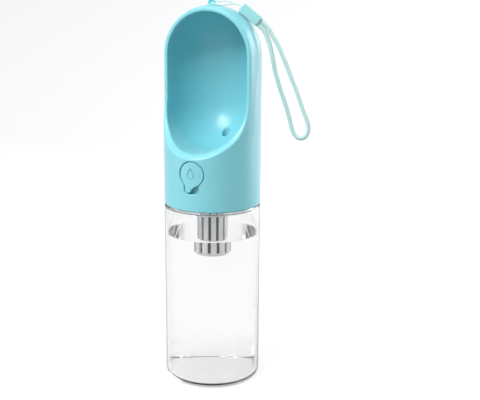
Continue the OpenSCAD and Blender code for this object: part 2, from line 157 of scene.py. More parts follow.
def mouldedPlastic(name, colour, darker, rough, **extra):
    look = plasticLook
    material, tree, shader, place = newMaterial(name, {"IOR": look["ior"], **extra})
    tone = remap(tree, noise(tree, place, look["cloud"]), 0, 1)
    tree.links.new(mixColour(tree, tone, colour, darker), shader.inputs["Base Color"])
    grain = noise(tree, place, look["grain"], look["grainDetail"])
    spread = look["roughSpread"]
    tree.links.new(remap(tree, grain, rough * (1 - spread), rough * (1 + spread)), shader.inputs["Roughness"])
    swell = bump(tree, shader, noise(tree, place, look["swell"]), look["swellDepth"])
    bump(tree, shader, grain, look["grainDepth"], below=swell)
    return material


# Each has its colour, the darker tone that it drifts to, and its roughness
shellTeal = mouldedPlastic("shellTeal", (0.212, 0.595, 0.670), (0.198, 0.575, 0.650), 0.29,
                           **{"Sheen Weight": 0.80, "Sheen Roughness": 0.25})
buttonTeal = mouldedPlastic("buttonTeal", (0.22, 0.595, 0.665), (0.205, 0.575, 0.645), 0.30)
collarTeal = mouldedPlastic("collarTeal", (0.30, 0.70, 0.75), (0.28, 0.67, 0.73), 0.30)
clampMint = mouldedPlastic("clampMint", (0.34, 0.68, 0.69), (0.32, 0.66, 0.67), 0.42)
filterWhite = mouldedPlastic("filterWhite", (0.90, 0.91, 0.92), (0.86, 0.87, 0.88), 0.30)
valveWhite = mouldedPlastic("valveWhite", (0.76, 0.77, 0.78), (0.73, 0.74, 0.75), 0.35)
softSilicone = mouldedPlastic("softSilicone", (0.78, 0.79, 0.77), (0.74, 0.75, 0.73), 0.50)
blackRubber = mouldedPlastic("blackRubber", (0.018, 0.018, 0.02), (0.03, 0.03, 0.03), 0.55)


def clearPlastic(name, ior, waves):
    material, tree, shader, place = newMaterial(name, {
        "Base Color": (1, 1, 1, 1), "Transmission Weight": 1.0, "IOR": ior, "Roughness": 0.0,
        "Specular IOR Level": 0.3})
    bump(tree, shader, noise(tree, place, waves["scale"], waves["detail"]), waves["depth"])
    return material


clearBottle = clearPlastic("clearBottle", 1.5, {"scale": 60, "detail": 2.0, "depth": 0.00002})
# Below real water's 1.33, so that the filter looks no larger through it than in the photograph
waterClear = clearPlastic("waterClear", 1.22, {"scale": 35, "detail": 2.0, "depth": 0.00001})

steelLook = {"streaks": (400, 400, 6000), "detail": 4.0, "rough": (0.18, 0.34), "depth": 0.000005}
# Carbon: the grains and their bump are real, and painted shade darkens the colour in the pits between them
carbonLook = {"rough": 0.8, "grains": 1100, "spread": 0.6, "depth": 0.0003,
              "shadedPit": (0.001, 0.001, 0.001), "crest": (0.010, 0.010, 0.011)}
fibreLook = {"fibres": 5200, "depth": 0.00005,
             "shader": {"Roughness": 0.72, "Sheen Weight": 0.35, "Sheen Roughness": 0.4}}


def brushedSteel(name, colour, lighter):
    look = steelLook
    material, tree, shader, place = newMaterial(name, {"Metallic": 1.0})
    streak = addNode(tree, "ShaderNodeMapping", {"Vector": place, "Scale": look["streaks"]}).outputs["Vector"]
    lines = noise(tree, streak, 1.0, look["detail"])
    tree.links.new(mixColour(tree, lines, colour, lighter), shader.inputs["Base Color"])
    tree.links.new(remap(tree, lines, *look["rough"]), shader.inputs["Roughness"])
    bump(tree, shader, lines, look["depth"])
    return material


def carbonGrainShaded(look):
    material, tree, shader, place = newMaterial("carbonGrainShaded", {"Roughness": look["rough"]})
    cells = addNode(tree, "ShaderNodeTexVoronoi", {"Vector": place, "Scale": look["grains"]}).outputs["Distance"]
    shade = remap(tree, cells, 0, 1, 0, look["spread"])
    # Painted shade: the colour is darkest in the pits, where the bump is lowest, and lightest on the crests
    tree.links.new(mixColour(tree, shade, look["shadedPit"], look["crest"]), shader.inputs["Base Color"])
    bump(tree, shader, cells, look["depth"])
    return material


def cordFibre(name, colour, darker):
    look = fibreLook
    material, tree, shader, place = newMaterial(name, look["shader"])
    fibre = noise(tree, place, look["fibres"])
    tree.links.new(mixColour(tree, remap(tree, fibre, 0, 1), darker, colour), shader.inputs["Base Color"])
    bump(tree, shader, fibre, look["depth"])
    return material


steel = brushedSteel("brushedSteel", (0.62, 0.63, 0.65), (0.78, 0.79, 0.80))
meshSteel = brushedSteel("meshSteel", (0.05, 0.05, 0.055), (0.10, 0.10, 0.11))     # near black, so that the cage's slots read black
carbon = carbonGrainShaded(carbonLook)
braidMint = cordFibre("braidMint", (0.60, 0.82, 0.79), (0.50, 0.74, 0.71))
stringMint = cordFibre("stringMint", (0.66, 0.84, 0.82), (0.56, 0.76, 0.75))

nodeMaterials = {
    "bottle": clearBottle, "head_shell": shellTeal, "screw_collar": collarTeal, "neck_gasket": softSilicone,
    "valve_body": valveWhite, "inlet_seal": softSilicone, "valve_screws": steel, "valve_plug": valveWhite,
    "valve_stem": valveWhite, "stem_o_ring": blackRubber, "valve_disc": softSilicone, "stem_clip": steel,
    "button_spring": steel, "button_cap": buttonTeal, "outlet_hose": softSilicone, "vent_valve": softSilicone,
    "filter_cap": filterWhite, "filter_cage": filterWhite, "carbon_core": carbon, "filter_mesh": meshSteel,
    "filter_o_ring": blackRubber, "strap_string": stringMint, "strap_clamp": clampMint, "strap_cord": braidMint,
}
for name, material in nodeMaterials.items():
    nodes[name].data.materials.clear()
    nodes[name].data.materials.append(material)
print("materials:", len(bpy.data.materials))


def newPiece(name, mesh, material, body):
    piece = bpy.data.objects.new(name, mesh)
    bpy.context.scene.collection.objects.link(piece)
    mesh.materials.clear()
    mesh.materials.append(material)
    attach(piece, body)
    return piece


def meshFrom(name, points, faces):
    mesh = bpy.data.meshes.new(name)
    mesh.from_pydata([tuple(p) for p in points], [], faces)
    mesh.validate()
    mesh.update()
    return mesh


def smoothed(mesh, sharpAngle):
    mesh.polygons.foreach_set("use_smooth", [True] * len(mesh.polygons))
    mesh.set_sharp_from_angle(angle=math.radians(sharpAngle))
    mesh.update()
    return mesh


# Turns a profile of radius and height about the bottle's axis. A row on the axis is one point
def lathe(name, profile, segments=192):
    points, ring = [], []
    for r, z in profile:
        if r == 0:
            ring.append([len(points)] * segments)
            points.append((0, 0, z))
            continue
        ring.append(list(range(len(points), len(points) + segments)))
        for k in range(segments):
            a = 2 * math.pi * k / segments
            points.append((r * math.cos(a), r * math.sin(a), z))
    faces = []
    for i in range(len(profile) - 1):
        for k in range(segments):
            n = (k + 1) % segments
            face = []
            for v in (ring[i][k], ring[i][n], ring[i + 1][n], ring[i + 1][k]):
                if v not in face:
                    face.append(v)
            if len(face) > 2:
                faces.append(face)
    return meshFrom(name, points, faces)


def arc(centre, radius, start, end, steps):
    return [(centre[0] + radius * math.cos(math.radians(start + (end - start) * i / steps)),
             centre[1] + radius * math.sin(math.radians(start + (end - start) * i / steps)))
            for i in range(steps + 1)]


# A smooth curve through the points, as points about one step apart
def smoothRoute(points, step):
    p = [np.array(q, float) for q in points]
    p = [2 * p[0] - p[1]] + p + [2 * p[-1] - p[-2]]
    route = []
    for i in range(1, len(p) - 2):
        n = max(2, math.ceil(np.linalg.norm(p[i + 1] - p[i]) / step))
        for k in range(n):
            t = k / n
            route.append(0.5 * (2 * p[i] + (p[i + 1] - p[i - 1]) * t
                                + (2 * p[i - 1] - 5 * p[i] + 4 * p[i + 1] - p[i + 2]) * t * t
                                + (3 * p[i] - p[i - 1] - 3 * p[i + 1] + p[i + 2]) * t ** 3))
    route.append(p[-2])
    return [tuple(float(c) for c in q) for q in route]


def routeLength(route):
    return sum(math.dist(a, b) for a, b in zip(route, route[1:]))


# The strap: a braided cord, its clamp and the string through the lug
strap = {
    "turn": 16.5,          # direction in which it hangs, degrees from +X towards +Y
    "cord": 0.0030,        # diameters
    "string": 0.0010,
    "clamp": (0.0155, 0.0070, 0.0054),
    "clampAt": (0.0252, 0.1277),      # distance from the axis and height above the head's edge
    "slope": 39.5,         # degrees by which the clamp points down
    "strand": 0.0016,      # half the distance between the two strands in the clamp
    "stringSide": 0.0008,
    "cordOut": 0.0024,     # how far each runs straight out of the clamp
    "stringOut": 0.0018,
    "cordStep": 0.0005,
    "stringStep": 0.0003,
    # Route of the cord, measured as clampAt is
    "route": [
        (0.0343, 0.1176), (0.0361, 0.1140), (0.0377, 0.1100), (0.0391, 0.1050), (0.0403, 0.1000),
        (0.0413, 0.0950), (0.0424, 0.0900), (0.0440, 0.0844), (0.0460, 0.0782), (0.0485, 0.0714),
        (0.0506, 0.0650), (0.0524, 0.0586), (0.0536, 0.0538), (0.0551, 0.0498), (0.0574, 0.0470),
        (0.0602, 0.0462), (0.0629, 0.0473), (0.0645, 0.0502), (0.0649, 0.0538), (0.0642, 0.0574),
        (0.0626, 0.0614), (0.0609, 0.0658), (0.0590, 0.0710), (0.0566, 0.0778), (0.0540, 0.0840),
        (0.0514, 0.0904), (0.0490, 0.0964), (0.0468, 0.1014), (0.0450, 0.1054), (0.0432, 0.1090),
        (0.0411, 0.1126), (0.0389, 0.1162), (0.0369, 0.1195)],
    # Half of the string's route: along the strap, across it, above the head's edge,
    # and how far one side rises and the other sinks
    "stringRoute": [
        (0.0155, 0.0012, 0.1346, 0.0001), (0.0125, 0.0018, 0.1349, 0.0005),
        (0.0090, 0.0026, 0.1350, 0.0011), (0.0060, 0.0033, 0.1350, 0.0012),
        (0.0038, 0.0038, 0.1351, 0.0009), (0.0019, 0.0038, 0.1351, 0.0005),
        (0.0006, 0.0028, 0.1351, 0.0002), (0.0001, 0.0015, 0.1351, 0.0000)],
    "eye": (0, 0, 0.1351),
}
# Inputs of the braid's tree. Lay is how far the strands run from the middle, and a weave of 0 makes a plain twist
cordBraid = {"Strands": 8, "Pitch": 0.0110, "Core": 0.00110, "Lay": 0.00112, "Weave": 0.00012, "Thick": 0.00036}
stringTwist = {"Strands": 3, "Pitch": 0.0030, "Core": 0.00016, "Lay": 0.00025, "Weave": 0.0, "Thick": 0.00026}
strandSides, coreSides = 6, 10


# A place on the clamp's lower end, for an end of 1, or its upper one, for -1, as distance from the axis and height
def clampPort(s, end, side, out):
    slope = math.radians(s["slope"])
    along = (math.cos(slope), -math.sin(slope))
    across = (math.sin(slope), math.cos(slope))
    reach = end * (s["clamp"][0] / 2 + out)
    return (s["clampAt"][0] + reach * along[0] + side * across[0],
            s["clampAt"][1] + reach * along[1] + side * across[1])


def hangingPoint(s, along, side, height):
    turn = math.radians(s["turn"])
    return (along * math.cos(turn) - side * math.sin(turn), along * math.sin(turn) + side * math.cos(turn),
            headZ + height)


def cordRoute(s):
    side, out = s["strand"], s["cordOut"]
    flat = [clampPort(s, 1, -side, 0), clampPort(s, 1, -side, out), *s["route"],
            clampPort(s, 1, side, out), clampPort(s, 1, side, 0)]
    return smoothRoute([hangingPoint(s, r, 0, h) for r, h in flat], s["cordStep"])


def stringRoute(s):
    start, leave = clampPort(s, -1, 0, 0), clampPort(s, -1, 0, s["stringOut"])
    half = [(start[0], s["stringSide"], start[1], 0), (leave[0], s["stringSide"], leave[1], 0), *s["stringRoute"]]
    front = [(a, -b, h - lift) for a, b, h, lift in half]
    back = [(a, b, h + lift) for a, b, h, lift in half[::-1]]
    return smoothRoute([hangingPoint(s, *p) for p in front + [s["eye"]] + back], s["stringStep"])


# Strands wound round a core along the route, all one way, or half of them each way as a braid
def braidTree(twoWays):
    tree = bpy.data.node_groups.new("braid", "GeometryNodeTree")
    face = tree.interface
    face.new_socket("Geometry", in_out="INPUT", socket_type="NodeSocketGeometry")
    face.new_socket("Strands", in_out="INPUT", socket_type="NodeSocketInt")
    for key in ("Pitch", "Core", "Lay", "Weave", "Thick"):
        face.new_socket(key, in_out="INPUT", socket_type="NodeSocketFloat")
    face.new_socket("Material", in_out="INPUT", socket_type="NodeSocketMaterial")
    face.new_socket("Geometry", in_out="OUTPUT", socket_type="NodeSocketGeometry")
    given = tree.nodes.new("NodeGroupInput").outputs

    def maths(operation, a, b=None):
        values = {0: a} if b is None else {0: a, 1: b}
        return addNode(tree, "ShaderNodeMath", values, operation=operation).outputs[0]

    def vector(operation, a, b=None, scale=None):
        values = {0: a} if b is None else {0: a, 1: b}
        if scale is not None:
            values["Scale"] = scale
        return addNode(tree, "ShaderNodeVectorMath", values, operation=operation).outputs[0]

    along = addNode(tree, "GeometryNodeSplineParameter").outputs["Length"]
    normal = addNode(tree, "GeometryNodeInputNormal").outputs["Normal"]
    tangent = addNode(tree, "GeometryNodeInputTangent").outputs["Tangent"]
    across = vector("CROSS_PRODUCT", tangent, normal)
    laps = maths("DIVIDE", along, given["Pitch"])
    beat = maths("MULTIPLY", maths("MULTIPLY", laps, given["Strands"]), 2 * math.pi)
    made = []
    for way in ((1, -1) if twoWays else (1,)):
        copies = addNode(tree, "GeometryNodeDuplicateElements",
                         {"Geometry": given["Geometry"], "Amount": given["Strands"]}, domain="SPLINE")
        share = maths("DIVIDE", copies.outputs["Duplicate Index"], given["Strands"])
        angle = maths("MULTIPLY", maths("ADD", maths("MULTIPLY", laps, float(way)), share), 2 * math.pi)
        lift = maths("MULTIPLY", maths("MULTIPLY", maths("COSINE", beat), given["Weave"]), float(way))
        out = maths("ADD", given["Lay"], lift)
        offset = vector("ADD",
                        vector("SCALE", normal, scale=maths("MULTIPLY", maths("COSINE", angle), out)),
                        vector("SCALE", across, scale=maths("MULTIPLY", maths("SINE", angle), out)))
        moved = addNode(tree, "GeometryNodeSetPosition", {"Geometry": copies.outputs["Geometry"], "Offset": offset})
        section = addNode(tree, "GeometryNodeCurvePrimitiveCircle",
                          {"Resolution": strandSides, "Radius": given["Thick"]}).outputs["Curve"]
        strand = addNode(tree, "GeometryNodeCurveToMesh",
                         {"Curve": moved.outputs["Geometry"], "Profile Curve": section, "Fill Caps": True})
        made.append(strand.outputs["Mesh"])
    section = addNode(tree, "GeometryNodeCurvePrimitiveCircle",
                      {"Resolution": coreSides, "Radius": given["Core"]}).outputs["Curve"]
    core = addNode(tree, "GeometryNodeCurveToMesh",
                   {"Curve": given["Geometry"], "Profile Curve": section, "Fill Caps": True})
    made.append(core.outputs["Mesh"])
    joined = addNode(tree, "GeometryNodeJoinGeometry")
    for mesh in made:
        tree.links.new(mesh, joined.inputs[0])
    real = addNode(tree, "GeometryNodeRealizeInstances", {"Geometry": joined.outputs[0]})
    dressed = addNode(tree, "GeometryNodeSetMaterial",
                      {"Geometry": real.outputs[0], "Material": given["Material"]})
    addNode(tree, "NodeGroupOutput", {"Geometry": dressed.outputs[0]})
    return tree


# The plain mesh that a tree makes on a carrier, which is removed
def grown(carrier, tree, values):
    modifier = carrier.modifiers.new("grow", "NODES")
    modifier.node_group = tree
    for item in tree.interface.items_tree:
        if item.item_type == "SOCKET" and item.in_out == "INPUT" and item.name in values:
            modifier[item.identifier] = values[item.name]
    bpy.context.view_layer.update()
    mesh = bpy.data.meshes.new_from_object(carrier.evaluated_get(bpy.context.evaluated_depsgraph_get()))
    carrier.modifiers.remove(modifier)
    bpy.data.objects.remove(carrier)
    return mesh


def routeCurve(name, route):
    data = bpy.data.curves.new(name, "CURVE")
    data.dimensions = "3D"
    data.twist_mode = "MINIMUM"
    spline = data.splines.new("POLY")
    spline.points.add(len(route) - 1)
    for point, place in zip(spline.points, route):
        point.co = (*place, 1)
    carrier = bpy.data.objects.new(name, data)
    bpy.context.scene.collection.objects.link(carrier)
    return carrier


def addCord(name, route, tree, sizes, material, node):
    mesh = grown(routeCurve(name + "Route", route), tree, {**sizes, "Material": material})
    mesh.name = name
    piece = newPiece(name, smoothed(mesh, sharpAngle=60), material, "head")
    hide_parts(node)
    print(name + ":", round(routeLength(route), 4), "m,", len(mesh.polygons), "faces")


addCord("braidedCord", cordRoute(strap), braidTree(True), cordBraid, braidMint, "strap_cord")
addCord("lugString", stringRoute(strap), braidTree(False), stringTwist, stringMint,
        "strap_string")


# The rounded mouldings follow fields, which are negative inside the plastic and positive outside it, in metres.
# This is where both a and b hold, with the edge between them rounded to r
def keptBoth(a, b, r):
    return np.minimum(np.maximum(a, b), -r) + np.hypot(np.maximum(a + r, 0), np.maximum(b + r, 0))


# Where either holds, with the hollow between them filled to r
def joinedBoth(a, b, r):
    return np.maximum(np.minimum(a, b), r) - np.hypot(np.maximum(r - a, 0), np.maximum(r - b, 0))


# Cuts each triangle at the middles of its marked sides, where a middle of -1 is an unmarked side
def splitTriangles(triangles, middles):
    count = (middles >= 0).sum(axis=1)
    made = [triangles[count == 0]]
    v, m = triangles[count == 3], middles[count == 3]
    made += [np.stack(corner, axis=1) for corner in (
        (v[:, 0], m[:, 0], m[:, 2]), (m[:, 0], v[:, 1], m[:, 1]), (m[:, 2], m[:, 1], v[:, 2]),
        (m[:, 0], m[:, 1], m[:, 2]))]
    for turn in range(3):
        v, m = np.roll(triangles, -turn, axis=1), np.roll(middles, -turn, axis=1)
        one = (count == 1) & (m[:, 0] >= 0)
        two = (count == 2) & (m[:, 2] < 0)
        made += [np.stack((v[one, 0], m[one, 0], v[one, 2]), axis=1),
                 np.stack((m[one, 0], v[one, 1], v[one, 2]), axis=1),
                 np.stack((m[two, 0], v[two, 1], m[two, 1]), axis=1),
                 np.stack((v[two, 0], m[two, 0], m[two, 1]), axis=1),
                 np.stack((v[two, 0], m[two, 1], v[two, 2]), axis=1)]
    return np.concatenate(made)


# Halves every edge that is longer than size(point) anywhere on it
def refined(points, triangles, size, rounds=12):
    for _ in range(rounds):
        sides = np.sort(triangles[:, [[0, 1], [1, 2], [2, 0]]].reshape(-1, 2), axis=1)
        edges, place = np.unique(sides, axis=0, return_inverse=True)
        a, b = points[edges[:, 0]], points[edges[:, 1]]
        wanted = np.min([size(a + (b - a) * t) for t in (0, 0.25, 0.5, 0.75, 1)], axis=0)
        tooLong = np.linalg.norm(a - b, axis=1) > wanted
        if not tooLong.any():
            break
        middles = np.full(len(edges), -1)
        middles[tooLong] = len(points) + np.arange(tooLong.sum())
        points = np.vstack([points, (a[tooLong] + b[tooLong]) / 2])
        triangles = splitTriangles(triangles, middles[place.reshape(-1)].reshape(-1, 3))
    return points, triangles


def steepness(field, points, step=0.00001):
    return np.stack([(field(points + d) - field(points - d)) / (2 * step) for d in np.eye(3) * step], axis=1)


# Moves the points that lie near the field's zero onto it
def settled(points, field, reach, rounds=5, flattest=0.3):
    on = np.abs(field(points)) < reach
    moving = points[on]
    for _ in range(rounds):
        grade = steepness(field, moving)
        moving = moving - (field(moving) / np.maximum((grade ** 2).sum(axis=1), flattest))[:, None] * grade
    points[on] = moving
    return points


# A node's form as an even mesh of small cells, finer where size asks for it, with its skin on a field
def roundedNode(node, name, field, size, form):
    carrier = bpy.data.objects.new(name + "Base", nodes[node].data.copy())
    bpy.context.scene.collection.objects.link(carrier)
    remesh = carrier.modifiers.new("even", "REMESH")
    remesh.mode = "VOXEL"
    remesh.voxel_size = form["cell"]
    bpy.context.view_layer.update()
    mesh = bpy.data.meshes.new_from_object(carrier.evaluated_get(bpy.context.evaluated_depsgraph_get()))
    bpy.data.objects.remove(carrier)
    points = np.empty(len(mesh.vertices) * 3)
    mesh.vertices.foreach_get("co", points)
    mesh.calc_loop_triangles()
    triangles = np.empty(len(mesh.loop_triangles) * 3, dtype=np.int32)
    mesh.loop_triangles.foreach_get("vertices", triangles)
    points = settled(points.reshape(-1, 3), field, form["reach"])
    points, triangles = refined(points, triangles.reshape(-1, 3), size)
    points = settled(points, field, form["reach"])
    print(name + ":", len(triangles), "triangles")
    return smoothed(meshFrom(name, points, triangles.tolist()), sharpAngle=50)


far = 1.0      # metres: a surface that isn't there, or a mesh that is fine enough as it is

# In the forms of the head, button and clamp, cell is the size of the even mesh and reach is how far off the field
# a point may be to get moved onto it. Fine is the longest side of a triangle near an edge, and a band is how near
headForm = {
    "domeZ": headZ + 0.1009, "bowlZ": 0.1913, "bowlRadius": bodyRadius - 0.0026, "taper": 10, "floorRise": 5,
    "faceY": 0.0094, "faceZ": headZ + 0.0759, "faceRadius": 0.0420, "faceTurn": 47.5,
    "wall": 0.0024, "chamberTop": headZ + 0.0100, "outletY": bodyRadius - 0.0110, "outletRadius": 0.0024,
    "lugZ": headZ + 0.1351, "lugRadius": 0.0030, "lugHalf": 0.0014, "lugHole": 0.0015, "lugFoot": 0.0032,
    "edgeRound": 0.0012, "rimRound": 0.0009, "mouthRound": 0.00055, "lugRound": 0.0005, "lugFillet": 0.0007,
    "cell": 0.0012, "reach": 0.0007, "fine": 0.00045, "skinBand": 0.0010, "edgeBand": 0.0014,
    "wellMargin": 0.0009, "wellReach": 0.0140, "wellFront": -0.0200,
    "lugFineFrom": 0.0310, "lugFineOut": 0.0048,      # above the dome's middle, and out from the axis
}
buttonForm = {
    "z": headZ + 0.0254, "radius": 0.0084, "tail": 0.0104, "tailEnd": 0.0024, "rootHalf": 0.0035,
    "rootZ": 0.0065, "swing": 28, "gap": 0.0005, "fillet": 0.0016,
    "front": bodyRadius - 0.0003, "back": bodyRadius - 0.0020, "round": 0.00045,
    "wellFloor": bodyRadius - 0.0040, "bore": 0.0043, "boss": 0.0040, "bossEnd": bodyRadius - 0.00555,
    "bossOverlap": 0.0005, "pin": 0.00225, "pinTip": bodyRadius - 0.00145,
    # A plain drop engraved in the face: its middle, belly, tip, and the groove's half width and depth
    "dropAt": (-0.0005, -0.0006), "belly": 0.0024, "tip": 0.0046, "groove": 0.00048, "depth": 0.00065,
    "cell": 0.0004, "reach": 0.0008, "rimFine": 0.00022, "rimBand": 0.0008, "frontBand": 0.0008,
    "grooveFine": 0.00013, "grooveBand": 1.4,      # this band is a share of the groove's half width
}


# Outline of the button's tail, turned about the button's middle, or of its slot when grown
def tailOutline(u, v, s, degrees, grow):
    a = math.radians(degrees)
    across, along = u * math.cos(a) + v * math.sin(a), u * math.sin(a) - v * math.cos(a)
    root, end, tip = s["rootHalf"] + grow, s["tailEnd"] + grow, s["tail"]
    side = np.array((tip - s["rootZ"], root - end)) / math.hypot(tip - s["rootZ"], root - end)
    flank = (np.abs(across) - root) * side[0] + (along - s["rootZ"]) * side[1]
    return np.minimum(np.hypot(across, along - tip) - end,
                      np.maximum(flank, np.maximum(s["rootZ"] - along, along - tip)))


# Outline of the well, in which the tail can swing to both sides. A k of 0 leaves its corners sharp, here and below
def wellOutline(u, v, s, k):
    half = math.radians(s["swing"] / 2)
    reach = s["tail"] + s["tailEnd"] + s["gap"]
    sector = np.maximum(np.hypot(u, v) - reach, np.abs(u) * math.cos(half) + v * math.sin(half))
    swept = np.minimum(sector, np.minimum(tailOutline(u, v, s, s["swing"] / 2, s["gap"]),
                                          tailOutline(u, v, s, -s["swing"] / 2, s["gap"])))
    return joinedBoth(np.hypot(u, v) - s["radius"] - s["gap"], swept, (s["fillet"] - s["gap"]) * k)


# The flat front of the upper head, which bends forward below into a straight slope
def faceField(y, z, s):
    turn = math.radians(s["faceTurn"])
    dy, dz = y + s["faceY"] + s["faceRadius"], z - s["faceZ"]
    bend = s["faceRadius"] - np.hypot(dy, dz)
    run = s["faceRadius"] - (dy * math.cos(turn) - dz * math.sin(turn))
    return np.where(dz >= 0, -(y + s["faceY"]), np.where(np.arctan2(-dz, dy) < turn, bend, run))


# The bowl: an upright capsule, with a tapered run to the front for its floor
def bowlField(x, y, z, s):
    r, taper = s["bowlRadius"], math.radians(s["taper"])
    tilt = math.radians(90 - s["floorRise"] + s["taper"])
    dz = z - np.clip(z, s["bowlZ"], s["domeZ"])
    capsule = np.sqrt(x * x + y * y + dz * dz) - r
    up = z - s["bowlZ"]
    along = -y * math.sin(tilt) + up * math.cos(tilt)
    off = np.hypot(x, y * math.cos(tilt) + up * math.sin(tilt))
    cone = (off - r * math.cos(taper) + (along - r * math.sin(taper)) * math.tan(taper)) * math.cos(taper)
    return np.minimum(capsule, np.where(along > r * math.sin(taper), cone, far))


def lugField(x, y, z, s, k):
    up = z - s["lugZ"]
    post = np.maximum(np.abs(x) - s["lugRadius"], np.maximum(up, -up - s["lugFoot"]))
    outline = np.minimum(np.hypot(x, up) - s["lugRadius"], post)
    plate = keptBoth(np.abs(y) - s["lugHalf"], outline, s["lugRound"] * k)
    return keptBoth(plate, s["lugHole"] - np.hypot(x, up), s["lugRound"] * k)


# The surfaces that meet in the head's skin, one row each
def headSides(p, k):
    s, t, (x, y, z) = headForm, buttonForm, p.T
    out, up = np.hypot(x, y), np.maximum(z - s["domeZ"], 0)
    shell = joinedBoth(np.hypot(out, up) - bodyRadius, lugField(x, y, z, s, k), s["lugFillet"] * k)
    well = np.minimum(np.maximum(wellOutline(x, z - t["z"], t, k), y + t["wellFloor"]),
                      np.hypot(x, z - t["z"]) - t["bore"])
    outlet = s["outletRadius"] - np.hypot(x, y - s["outletY"])
    chamber = bodyRadius - s["wall"] - out
    return np.stack((shell, headZ - z, faceField(y, z, s), -bowlField(x, y, z, s),
                     np.where(y < s["wellFront"], -well, -far), np.where(z < s["bowlZ"], outlet, -far),
                     np.where(z < s["chamberTop"], chamber, -far)))


def headField(p):
    shell, foot, face, bowl, well, outlet, chamber = headSides(p, 1)
    rim, mouth = headForm["rimRound"], headForm["mouthRound"]
    skin = keptBoth(keptBoth(keptBoth(shell, foot, headForm["edgeRound"]), face, rim), bowl, rim)
    return np.maximum(keptBoth(keptBoth(skin, well, mouth), outlet, mouth), chamber)


# Fine beside the rounded edges, in the button's well and on the lug, and as it is elsewhere
def headSize(p):
    s, t, (x, y, z) = headForm, buttonForm, p.T
    sides = np.sort(headSides(p, 0), axis=0)
    edge = (np.abs(sides[-1]) < s["skinBand"]) & (sides[-2] > -s["edgeBand"])
    out = np.hypot(x, y)
    lug = (z > s["domeZ"] + s["lugFineFrom"]) & (out < s["lugFineOut"])
    well = ((y < s["wellMargin"] - t["wellFloor"]) & (out < bodyRadius - s["wellMargin"])
            & (np.hypot(x, z - t["z"]) < s["wellReach"]))
    return np.where(edge | lug | well, s["fine"], far)


headBody = newPiece("headBody", roundedNode("head_shell", "headBody", headField, headSize, headForm),
                    shellTeal, "head")
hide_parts("head_shell")


def dropOutline(s, steps=40):
    lean = math.acos(s["belly"] / s["tip"])
    start, whole = math.pi / 2 + lean, 2 * math.pi - 2 * lean
    belly = [(s["belly"] * math.cos(start + whole * i / steps), s["belly"] * math.sin(start + whole * i / steps))
             for i in range(steps + 1)]
    return np.array([(0, s["tip"])] + belly + [(0, s["tip"])]) + np.array(s["dropAt"])


# Distance of each point from a line through the outline's points
def awayFrom(outline, u, v):
    least = np.full(len(u), far)
    for (ax, ay), (bx, by) in zip(outline, outline[1:]):
        t = np.clip(((u - ax) * (bx - ax) + (v - ay) * (by - ay)) / ((bx - ax) ** 2 + (by - ay) ** 2), 0, 1)
        least = np.minimum(least, np.hypot(u - ax - t * (bx - ax), v - ay - t * (by - ay)))
    return least


drop = dropOutline(buttonForm)


# The button stands at the pouring end of its swing
def buttonOutline(u, v, s):
    return joinedBoth(np.hypot(u, v) - s["radius"], tailOutline(u, v, s, -s["swing"] / 2, 0), s["fillet"])


def buttonField(p):
    s, (x, y, z) = buttonForm, p.T
    v = z - s["z"]
    out = np.hypot(x, v)
    near = np.clip(awayFrom(drop, x, v) / s["groove"], 0, 1)
    face = np.hypot(x, y) - s["front"] + s["depth"] * (0.5 + 0.5 * np.cos(math.pi * near))
    plate = np.maximum(keptBoth(face, buttonOutline(x, v, s), s["round"]), y + s["back"])
    boss = np.maximum(np.maximum(out - s["boss"], y + s["bossEnd"]), -y - s["back"] - s["bossOverlap"])
    pin = np.maximum(out - s["pin"], -y - s["pinTip"])
    return np.maximum(np.minimum(plate, boss), -pin)


def buttonSize(p):
    s, (x, y, z) = buttonForm, p.T
    v = z - s["z"]
    front = np.hypot(x, y) > s["front"] - s["frontBand"]
    groove = awayFrom(drop, x, v) < s["grooveBand"] * s["groove"]
    rim = buttonOutline(x, v, s) > -s["rimBand"]
    return np.where(front & groove, s["grooveFine"], np.where(front & rim, s["rimFine"], far))


buttonFace = newPiece("buttonFace", roundedNode("button_cap", "buttonFace", buttonField, buttonSize, buttonForm),
                      buttonTeal, "button")
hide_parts("button_cap")


# The spring behind the button, with the travel by which a press shortens it
springForm = {"wire": 0.0007, "wireRoundness": 2, "turns": 6, "stepsPerTurn": 32, "travel": 0.0017}


def springRoute(s, low, high):
    radius, steps = (high.x - low.x - s["wire"]) / 2, s["turns"] * s["stepsPerTurn"]
    start, end = low.y + s["wire"] / 2, high.y - s["wire"] / 2
    turns = [2 * math.pi * i / s["stepsPerTurn"] for i in range(steps + 1)]
    return [(radius * math.cos(a), start + (end - start) * i / steps, (low.z + high.z) / 2 + radius * math.sin(a))
            for i, a in enumerate(turns)]


def springMesh(s, low, high):
    carrier = routeCurve("springRoute", springRoute(s, low, high))
    carrier.data.bevel_depth, carrier.data.bevel_resolution = s["wire"] / 2, s["wireRoundness"]
    carrier.data.use_fill_caps = True
    mesh = bpy.data.meshes.new_from_object(carrier.evaluated_get(bpy.context.evaluated_depsgraph_get()))
    bpy.data.objects.remove(carrier)
    return smoothed(mesh, sharpAngle=60)


springLow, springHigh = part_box("button_spring")
returnSpring = newPiece("returnSpring", springMesh(springForm, springLow, springHigh), steel, "head")
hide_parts("button_spring")
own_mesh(returnSpring)


clampForm = {"corner": 0.0011, "round": 0.0009, "cell": 0.0005, "reach": 0.0004, "fine": 0.0003,
             "edgeBand": 0.0012}


# The clamp's outline, seen square to its flat faces, and those two faces
def clampSides(p):
    turn, lean = math.radians(strap["turn"]), math.radians(strap["slope"])
    reach = p[:, 0] * math.cos(turn) + p[:, 1] * math.sin(turn) - strap["clampAt"][0]
    height = p[:, 2] - headZ - strap["clampAt"][1]
    deep = np.abs(p[:, 1] * math.cos(turn) - p[:, 0] * math.sin(turn)) - strap["clamp"][2] / 2
    c = clampForm["corner"]
    u = np.abs(reach * math.cos(lean) - height * math.sin(lean)) - strap["clamp"][0] / 2 + c
    v = np.abs(reach * math.sin(lean) + height * math.cos(lean)) - strap["clamp"][1] / 2 + c
    outline = np.hypot(np.maximum(u, 0), np.maximum(v, 0)) + np.minimum(np.maximum(u, v), 0) - c
    return outline, deep


